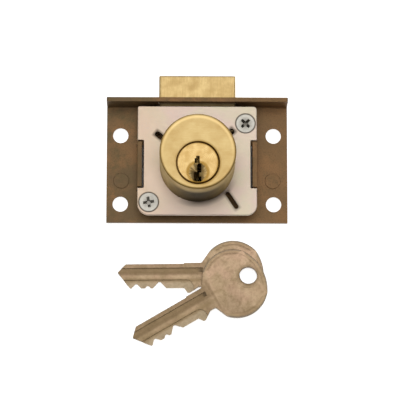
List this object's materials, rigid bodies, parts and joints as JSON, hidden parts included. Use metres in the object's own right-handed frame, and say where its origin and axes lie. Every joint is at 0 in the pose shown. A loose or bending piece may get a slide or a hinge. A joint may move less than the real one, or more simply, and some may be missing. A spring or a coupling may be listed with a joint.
{
  "type": "cut cupboard lock",
  "caption": "Cut cupboard lock: a bronzed plate with bent selvedge, a brass cylinder on a zinc-plated cap, a sliding brass bolt worked by a cam, and matching flat keys lying beside it.",
  "frame": {"origin": "on the cylinder's axis, at the back plate's rear face", "axes": "+Z along the cylinder's axis, from the back plate to the key's mouth; +Y the way the bolt shoots; +X to the right seen from the key's side"},
  "size_m": [0.064, 0.096, 0.0312],
  "materials": {
    "bronzed_steel": "bronzed sheet steel, satin, lightly mottled",
    "zinc_plate": "bright zinc plated sheet steel",
    "screw_steel": "zinc plated steel",
    "turned_steel": "turned steel",
    "spring_steel": "drawn spring steel",
    "bolt_brass": "cast brass, tumbled",
    "barrel_brass": "turned brass, satin",
    "plug_brass": "turned brass, bright",
    "pin_brass": "turned brass",
    "nickel_silver": "nickel silver, satin"
  },
  "bodies": {
    "case": {"back_plate": "bronzed_steel", "cap_plate": "zinc_plate", "case_screws": "screw_steel", "threaded_pillars": "turned_steel", "support_posts": "turned_steel", "guide_stud": "turned_steel", "cylinder_body": "barrel_brass", "cylinder_screws": "screw_steel", "driver_pins": "pin_brass", "pin_springs": "spring_steel", "chamber_plugs": "pin_brass"},
    "plug": {"plug": "plug_brass", "retaining_ring": "spring_steel", "drive_cam": "turned_steel", "drive_pin": "turned_steel", "bottom_pin_1": "pin_brass", "bottom_pin_2": "pin_brass", "bottom_pin_3": "pin_brass", "bottom_pin_4": "pin_brass"},
    "bolt": {"bolt": "bolt_brass"},
    "lower_key": {"lower_key": "nickel_silver"},
    "upper_key": {"upper_key": "nickel_silver"}
  },
  "joints": [
    {"name": "plug_turn", "type": "hinge", "parent": "case", "child": "plug", "pos_m": [0, -0.004, 0.02], "axis": [0, 0, -1], "range_deg": [0, 90]},
    {"name": "bolt_slide", "type": "slide", "parent": "case", "child": "bolt", "axis": [0, -1, 0], "range_m": [0, 0.0085]},
    {"name": "lower_key_lift", "type": "slide", "parent": "case", "child": "lower_key", "axis": [0, 0, 1], "range_m": [0, 0.04]},
    {"name": "upper_key_lift", "type": "slide", "parent": "lower_key", "child": "upper_key", "axis": [0, 0, 1], "range_m": [0, 0.04]}
  ],
  "couplings": [
    {"joint": "plug_turn", "follows": "bolt_slide", "rad_per_m": 184.8}
  ]
}
